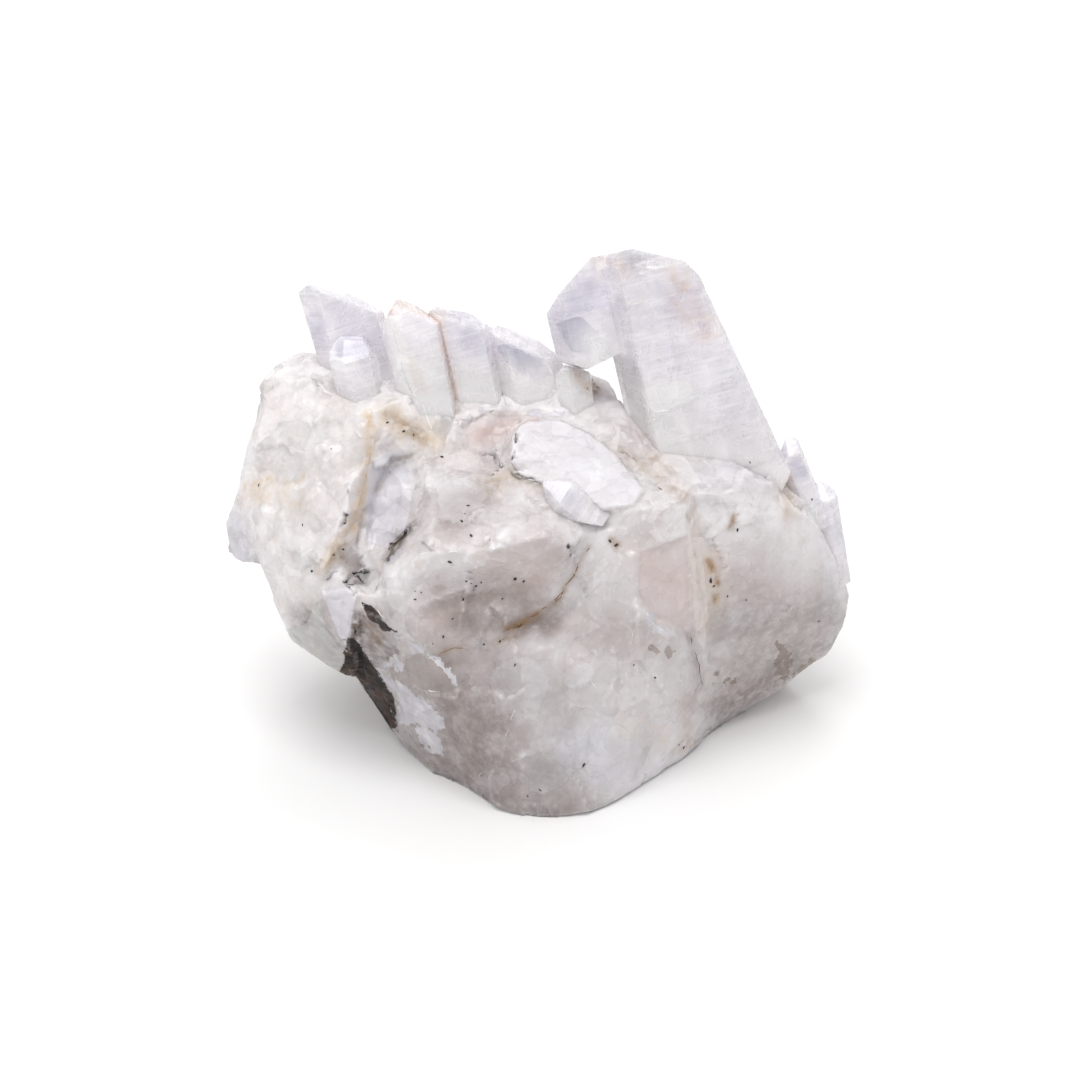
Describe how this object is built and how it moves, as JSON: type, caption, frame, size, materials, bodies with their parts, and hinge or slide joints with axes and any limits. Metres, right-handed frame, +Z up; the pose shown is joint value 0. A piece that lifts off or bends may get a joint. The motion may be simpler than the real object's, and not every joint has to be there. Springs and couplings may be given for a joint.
{
  "type": "quartz crystal cluster",
  "caption": "Hand-sized natural quartz cluster: clear six-sided points standing in a rugged milky quartz base, flat underneath so that it rests upright.",
  "frame": {"origin": "under the middle of the whole cluster, at the level of its flat underside", "axes": "+X to the cluster's right as the picture shows it, where the large point stands; -Y towards the picture's viewer; +Z up"},
  "size_m": [0.1032, 0.0688, 0.0848],
  "materials": {
    "milky_quartz": "satin",
    "clear_quartz": "gloss"
  },
  "bodies": {
    "root": {"milky_base": "milky_quartz", "large_point": "clear_quartz", "left_tall_point": "clear_quartz", "short_point": "clear_quartz", "middle_points": "clear_quartz", "clear_chip": "clear_quartz", "right_shards": "clear_quartz", "rear_left_point": "clear_quartz", "rear_middle_point": "clear_quartz", "rear_low_point": "clear_quartz", "rear_right_point": "clear_quartz"}
  },
  "joints": []
}
